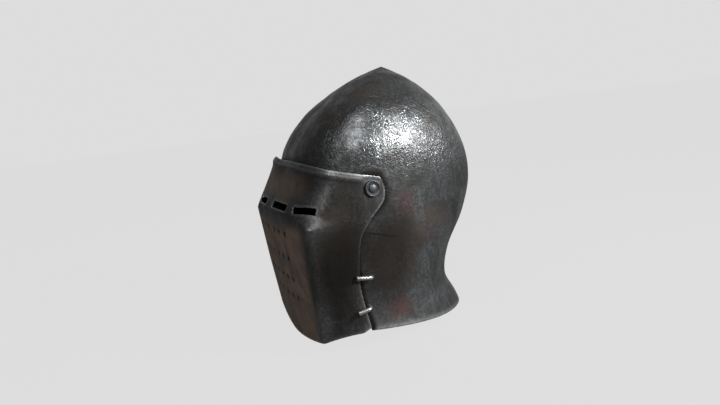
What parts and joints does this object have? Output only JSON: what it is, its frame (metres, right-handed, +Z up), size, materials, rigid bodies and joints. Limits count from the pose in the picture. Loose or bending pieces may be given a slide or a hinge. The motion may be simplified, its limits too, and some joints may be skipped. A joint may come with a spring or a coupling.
{
  "type": "visored barbute",
  "caption": "Pointed steel helmet skull with a flared tail and a pivoted visor pierced by sight slots and breaths, on washered rivets, with bent keeper pins over its rear edges.",
  "frame": {"origin": "on the floor under the middle of the bounding box", "axes": "+X to the wearer's left, +Y to the nape, +Z up"},
  "size_m": [0.2108, 0.2428, 0.2809],
  "materials": {
    "skull_steel": "blackened, hammered and dulled by handling",
    "visor_steel": "blackened, browned with rust, edges worn bright",
    "pivot_steel": "turned, dulled",
    "keeper_steel": "bright, plain"
  },
  "bodies": {
    "helmet": {"skull": "skull_steel", "pivot_washer_left": "pivot_steel", "pivot_rivet_left": "pivot_steel", "keeper_upper_left": "keeper_steel", "keeper_lower_left": "keeper_steel", "pivot_washer_right": "pivot_steel", "pivot_rivet_right": "pivot_steel", "keeper_upper_right": "keeper_steel", "keeper_lower_right": "keeper_steel"},
    "visor": {"visor": "visor_steel"}
  },
  "joints": [
    {"name": "visor_pivot", "type": "hinge", "parent": "helmet", "child": "visor", "pos_m": [0, -0.04162, 0.15876], "axis": [-1, 0, 0], "range_deg": [0, 15.5]}
  ]
}
